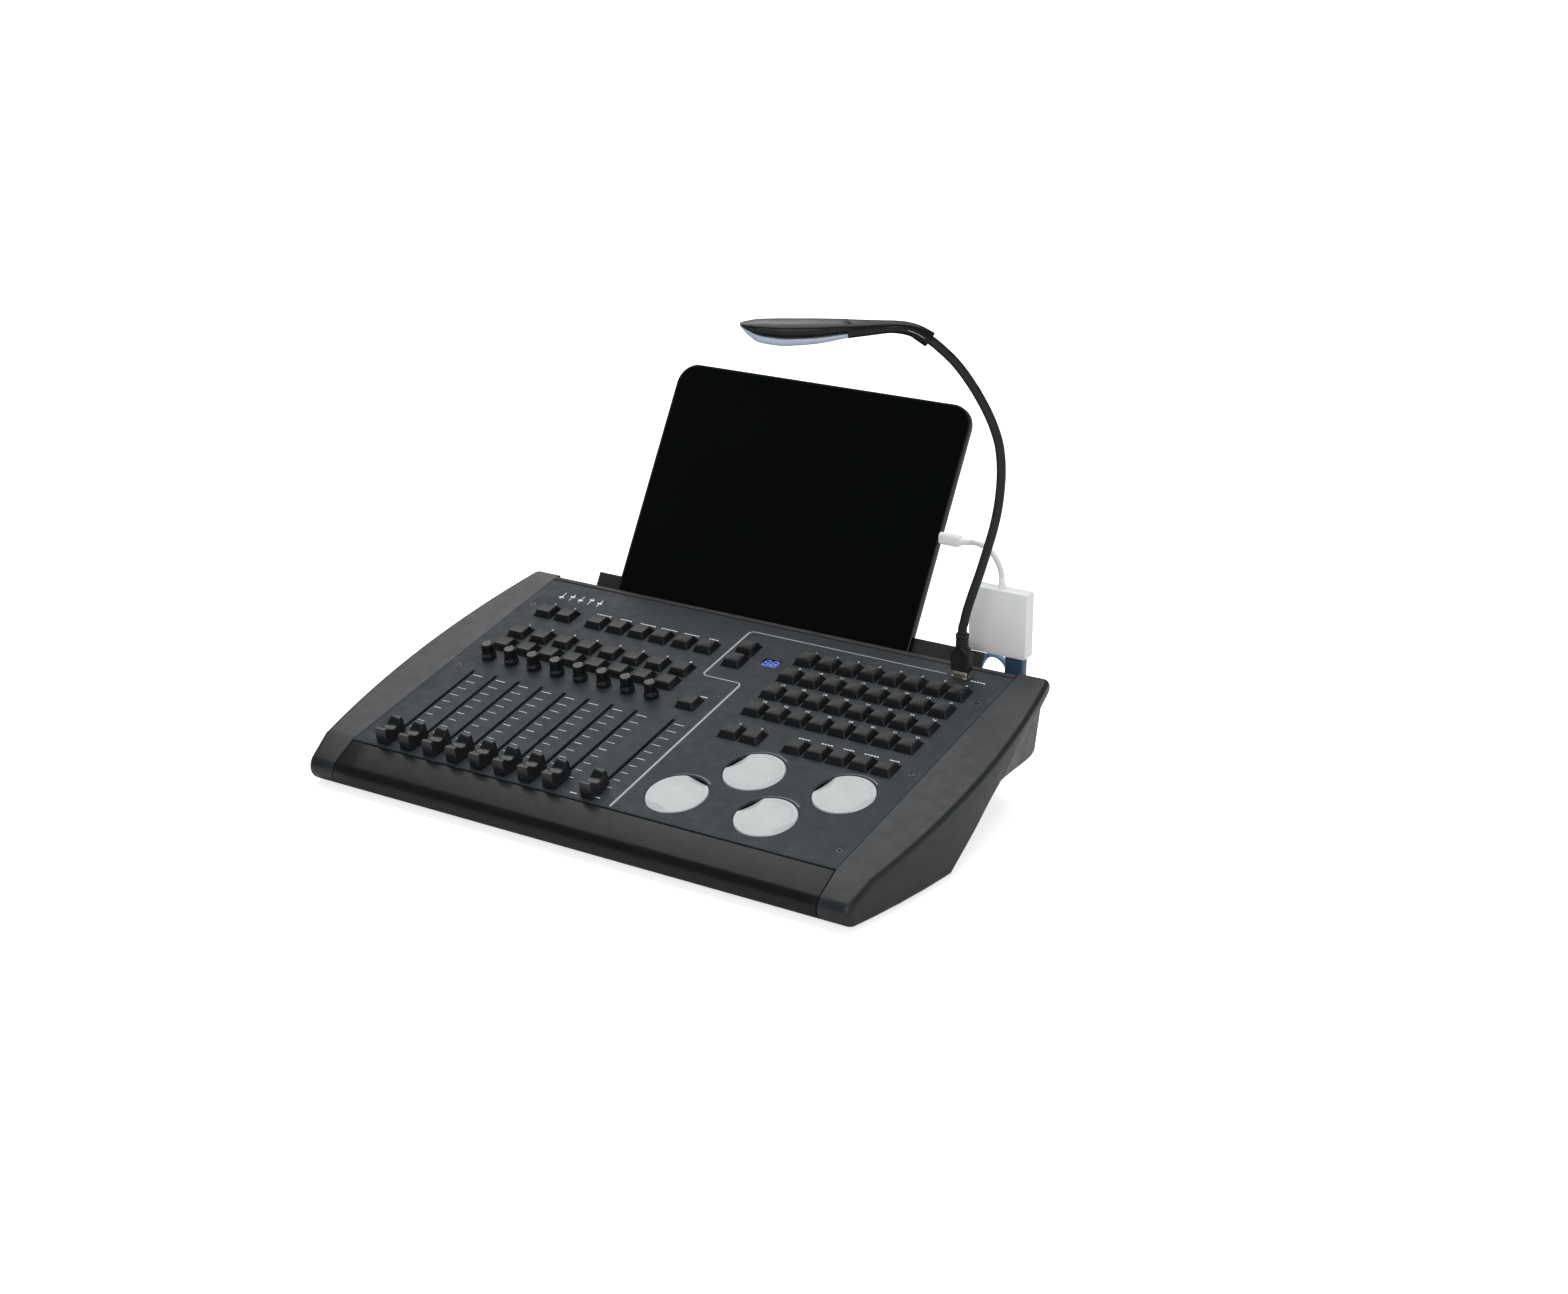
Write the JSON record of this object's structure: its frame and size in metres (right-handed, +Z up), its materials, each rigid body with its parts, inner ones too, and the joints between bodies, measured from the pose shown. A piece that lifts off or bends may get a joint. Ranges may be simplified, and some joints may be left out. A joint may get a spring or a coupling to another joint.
{
  "type": "lighting control desk",
  "caption": "Sloping stage lighting desk with faders, knobs, wheels and keys between bowed cheeks, a tablet in a rear dock and a bendable USB lamp.",
  "frame": {"origin": "centre of the object's footprint box, on the table under the feet", "axes": "+X to the operator's right, +Y away from the operator, +Z up"},
  "size_m": [0.521, 0.3916, 0.3667],
  "materials": {
    "case_black": "satin black moulding",
    "panel": "matte charcoal coat with a slight blue cast",
    "rail": "black anodised, satin",
    "tray": "fine-textured black powder coat",
    "rubber": "matte",
    "screw": "blackened steel",
    "board": "green solder mask",
    "steel": "plated sheet",
    "socket": "nickel plated shells",
    "smoked": "smoked window",
    "switch": "gloss black",
    "cap": "satin black with a pale index line",
    "knob": "satin black",
    "wheel": "translucent white, frosted",
    "key": "satin black",
    "tablet_metal": "bead-blasted grey",
    "tablet_glass": "black glass",
    "lamp_black": "gloss black moulding and gold plug shell",
    "neck": "soft black sleeve",
    "lens": "frosted pale blue-grey",
    "adapter": "satin white",
    "white_lead": "soft white jacket",
    "blue_plug": "blue moulding",
    "blue_lead": "light blue jacket"
  },
  "bodies": {
    "desk": {"base_tray": "tray", "top_panel": "panel", "front_rail": "rail", "left_cheek": "case_black", "right_cheek": "case_black", "rubber_feet": "rubber", "case_screws": "screw", "tablet_dock": "case_black", "dock_pad": "rubber", "circuit_boards": "board", "fader_tracks": "steel", "encoder_bodies": "steel", "key_switches": "switch", "rear_sockets": "socket", "display_window": "smoked", "tablet_shell": "tablet_metal", "tablet_glass": "tablet_glass", "lamp_plug": "lamp_black", "adapter_box": "adapter", "adapter_lead": "white_lead", "adapter_plug": "adapter", "usb_lead": "blue_lead", "usb_plugs": "blue_plug"},
    "fader_1": {"fader_1": "cap"},
    "fader_2": {"fader_2": "cap"},
    "fader_3": {"fader_3": "cap"},
    "fader_4": {"fader_4": "cap"},
    "fader_5": {"fader_5": "cap"},
    "fader_6": {"fader_6": "cap"},
    "fader_7": {"fader_7": "cap"},
    "fader_8": {"fader_8": "cap"},
    "fader_master": {"fader_master": "cap"},
    "knob_1": {"knob_1": "knob"},
    "knob_2": {"knob_2": "knob"},
    "knob_3": {"knob_3": "knob"},
    "knob_4": {"knob_4": "knob"},
    "knob_5": {"knob_5": "knob"},
    "knob_6": {"knob_6": "knob"},
    "knob_7": {"knob_7": "knob"},
    "knob_8": {"knob_8": "knob"},
    "wheel_1": {"wheel_1": "wheel"},
    "wheel_2": {"wheel_2": "wheel"},
    "wheel_3": {"wheel_3": "wheel"},
    "wheel_4": {"wheel_4": "wheel"},
    "keys_menu_row": {"keys_menu_row": "key"},
    "keys_flash_upper": {"keys_flash_upper": "key"},
    "keys_flash_lower": {"keys_flash_lower": "key"},
    "key_control": {"key_control": "key"},
    "keys_display": {"keys_display": "key"},
    "keys_cue_row_1": {"keys_cue_row_1": "key"},
    "keys_cue_row_2": {"keys_cue_row_2": "key"},
    "keys_cue_row_3": {"keys_cue_row_3": "key"},
    "keys_cue_row_4": {"keys_cue_row_4": "key"},
    "keys_command_row": {"keys_command_row": "key"},
    "power_switch": {"power_switch": "switch"},
    "lamp_neck_lower": {"lamp_neck_lower": "neck"},
    "lamp_neck_upper": {"lamp_neck_upper": "neck"},
    "lamp_head": {"lamp_head": "lamp_black", "lamp_lens": "lens"}
  },
  "joints": [
    {"name": "power_switch_rock", "type": "hinge", "parent": "desk", "child": "power_switch", "pos_m": [-0.15, 0.08867, 0.045], "axis": [1, 0, 0], "range_deg": [0, 16]},
    {"name": "lamp_base_bend", "type": "hinge", "parent": "desk", "child": "lamp_neck_lower", "pos_m": [0.1805, 0.07407, 0.1301], "axis": [0.5432, -0.8396, 0], "range_deg": [-25, 20]},
    {"name": "lamp_neck_bend", "type": "hinge", "parent": "lamp_neck_lower", "child": "lamp_neck_upper", "pos_m": [0.20216, 0.08809, 0.2511], "axis": [0.5432, -0.8396, 0], "range_deg": [-30, 30]},
    {"name": "lamp_head_tilt", "type": "hinge", "parent": "lamp_neck_upper", "child": "lamp_head", "pos_m": [0.15783, 0.05941, 0.3511], "axis": [0.5432, -0.8396, 0], "range_deg": [-35, 35]},
    {"name": "fader_1_slide", "type": "slide", "parent": "desk", "child": "fader_1", "axis": [0, 0.9744, 0.225], "range_m": [0, 0.1]},
    {"name": "fader_2_slide", "type": "slide", "parent": "desk", "child": "fader_2", "axis": [0, 0.9744, 0.225], "range_m": [0, 0.1]},
    {"name": "fader_3_slide", "type": "slide", "parent": "desk", "child": "fader_3", "axis": [0, 0.9744, 0.225], "range_m": [0, 0.1]},
    {"name": "fader_4_slide", "type": "slide", "parent": "desk", "child": "fader_4", "axis": [0, 0.9744, 0.225], "range_m": [0, 0.1]},
    {"name": "fader_5_slide", "type": "slide", "parent": "desk", "child": "fader_5", "axis": [0, 0.9744, 0.225], "range_m": [0, 0.1]},
    {"name": "fader_6_slide", "type": "slide", "parent": "desk", "child": "fader_6", "axis": [0, 0.9744, 0.225], "range_m": [0, 0.1]},
    {"name": "fader_7_slide", "type": "slide", "parent": "desk", "child": "fader_7", "axis": [0, 0.9744, 0.225], "range_m": [0, 0.1]},
    {"name": "fader_8_slide", "type": "slide", "parent": "desk", "child": "fader_8", "axis": [0, 0.9744, 0.225], "range_m": [0, 0.1]},
    {"name": "fader_master_slide", "type": "slide", "parent": "desk", "child": "fader_master", "axis": [0, 0.9744, 0.225], "range_m": [0, 0.1]},
    {"name": "knob_1_turn", "type": "hinge", "parent": "desk", "child": "knob_1", "pos_m": [-0.1928, -0.03538, 0.06586], "axis": [0, -0.225, 0.9744], "continuous": true},
    {"name": "knob_2_turn", "type": "hinge", "parent": "desk", "child": "knob_2", "pos_m": [-0.1698, -0.03538, 0.06586], "axis": [0, -0.225, 0.9744], "continuous": true},
    {"name": "knob_3_turn", "type": "hinge", "parent": "desk", "child": "knob_3", "pos_m": [-0.1468, -0.03538, 0.06586], "axis": [0, -0.225, 0.9744], "continuous": true},
    {"name": "knob_4_turn", "type": "hinge", "parent": "desk", "child": "knob_4", "pos_m": [-0.1238, -0.03538, 0.06586], "axis": [0, -0.225, 0.9744], "continuous": true},
    {"name": "knob_5_turn", "type": "hinge", "parent": "desk", "child": "knob_5", "pos_m": [-0.1008, -0.03538, 0.06586], "axis": [0, -0.225, 0.9744], "continuous": true},
    {"name": "knob_6_turn", "type": "hinge", "parent": "desk", "child": "knob_6", "pos_m": [-0.0778, -0.03538, 0.06586], "axis": [0, -0.225, 0.9744], "continuous": true},
    {"name": "knob_7_turn", "type": "hinge", "parent": "desk", "child": "knob_7", "pos_m": [-0.0548, -0.03538, 0.06586], "axis": [0, -0.225, 0.9744], "continuous": true},
    {"name": "knob_8_turn", "type": "hinge", "parent": "desk", "child": "knob_8", "pos_m": [-0.0318, -0.03538, 0.06586], "axis": [0, -0.225, 0.9744], "continuous": true},
    {"name": "wheel_1_turn", "type": "hinge", "parent": "desk", "child": "wheel_1", "pos_m": [0.063, -0.1371, 0.04237], "axis": [0, -0.225, 0.9744], "continuous": true},
    {"name": "wheel_2_turn", "type": "hinge", "parent": "desk", "child": "wheel_2", "pos_m": [0.101, -0.09248, 0.05267], "axis": [0, -0.225, 0.9744], "continuous": true},
    {"name": "wheel_3_turn", "type": "hinge", "parent": "desk", "child": "wheel_3", "pos_m": [0.1402, -0.1371, 0.04237], "axis": [0, -0.225, 0.9744], "continuous": true},
    {"name": "wheel_4_turn", "type": "hinge", "parent": "desk", "child": "wheel_4", "pos_m": [0.1783, -0.09248, 0.05267], "axis": [0, -0.225, 0.9744], "continuous": true},
    {"name": "keys_menu_row_press", "type": "slide", "parent": "desk", "child": "keys_menu_row", "axis": [0, 0.225, -0.9744], "range_m": [0, 0.0015], "stiffness_N_per_m": 600, "springref_m": -0.001},
    {"name": "keys_flash_upper_press", "type": "slide", "parent": "desk", "child": "keys_flash_upper", "axis": [0, 0.225, -0.9744], "range_m": [0, 0.0015], "stiffness_N_per_m": 600, "springref_m": -0.001},
    {"name": "keys_flash_lower_press", "type": "slide", "parent": "desk", "child": "keys_flash_lower", "axis": [0, 0.225, -0.9744], "range_m": [0, 0.0015], "stiffness_N_per_m": 600, "springref_m": -0.001},
    {"name": "key_control_press", "type": "slide", "parent": "desk", "child": "key_control", "axis": [0, 0.225, -0.9744], "range_m": [0, 0.0015], "stiffness_N_per_m": 600, "springref_m": -0.001},
    {"name": "keys_display_press", "type": "slide", "parent": "desk", "child": "keys_display", "axis": [0, 0.225, -0.9744], "range_m": [0, 0.0015], "stiffness_N_per_m": 600, "springref_m": -0.001},
    {"name": "keys_cue_row_1_press", "type": "slide", "parent": "desk", "child": "keys_cue_row_1", "axis": [0, 0.225, -0.9744], "range_m": [0, 0.0015], "stiffness_N_per_m": 600, "springref_m": -0.001},
    {"name": "keys_cue_row_2_press", "type": "slide", "parent": "desk", "child": "keys_cue_row_2", "axis": [0, 0.225, -0.9744], "range_m": [0, 0.0015], "stiffness_N_per_m": 600, "springref_m": -0.001},
    {"name": "keys_cue_row_3_press", "type": "slide", "parent": "desk", "child": "keys_cue_row_3", "axis": [0, 0.225, -0.9744], "range_m": [0, 0.0015], "stiffness_N_per_m": 600, "springref_m": -0.001},
    {"name": "keys_cue_row_4_press", "type": "slide", "parent": "desk", "child": "keys_cue_row_4", "axis": [0, 0.225, -0.9744], "range_m": [0, 0.0015], "stiffness_N_per_m": 600, "springref_m": -0.001},
    {"name": "keys_command_row_press", "type": "slide", "parent": "desk", "child": "keys_command_row", "axis": [0, 0.225, -0.9744], "range_m": [0, 0.0015], "stiffness_N_per_m": 600, "springref_m": -0.001}
  ]
}
